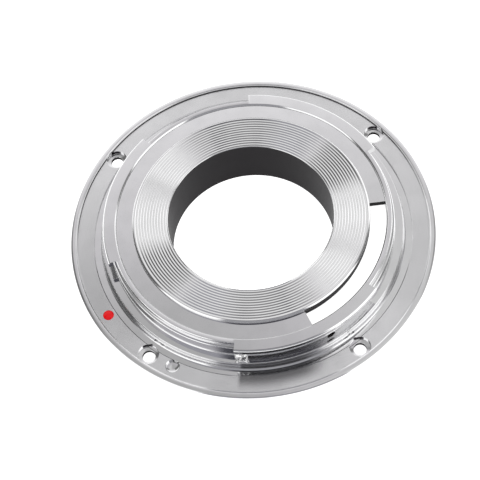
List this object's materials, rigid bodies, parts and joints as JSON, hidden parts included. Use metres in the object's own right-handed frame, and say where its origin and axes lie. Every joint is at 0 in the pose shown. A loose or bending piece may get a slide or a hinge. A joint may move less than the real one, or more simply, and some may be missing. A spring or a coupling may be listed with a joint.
{
  "type": "lens mount adapter",
  "caption": "Flanged bayonet adapter ring with a recessed slotted plate and a short central light tube under a finely grooved round head.",
  "frame": {"origin": "on the axis of the central bore, at the height of the rim lip's top face", "axes": "+Z along the bore axis, out of the bayonet side; +X and +Y as the picture shows the adapter, with +X to the right"},
  "size_m": [0.065, 0.065, 0.0098],
  "materials": {
    "ring_chrome": "turned and chromed, with fine concentric marks",
    "plate_chrome": "satin chrome",
    "tube_chrome": "chromed grooved head, matt black inside the tube",
    "dot_red": "glossy red",
    "screw_steel": "bright"
  },
  "bodies": {
    "root": {"mount_ring": "ring_chrome", "baffle_plate": "plate_chrome", "light_tube": "tube_chrome", "index_dot": "dot_red", "stop_screw": "screw_steel"}
  },
  "joints": []
}
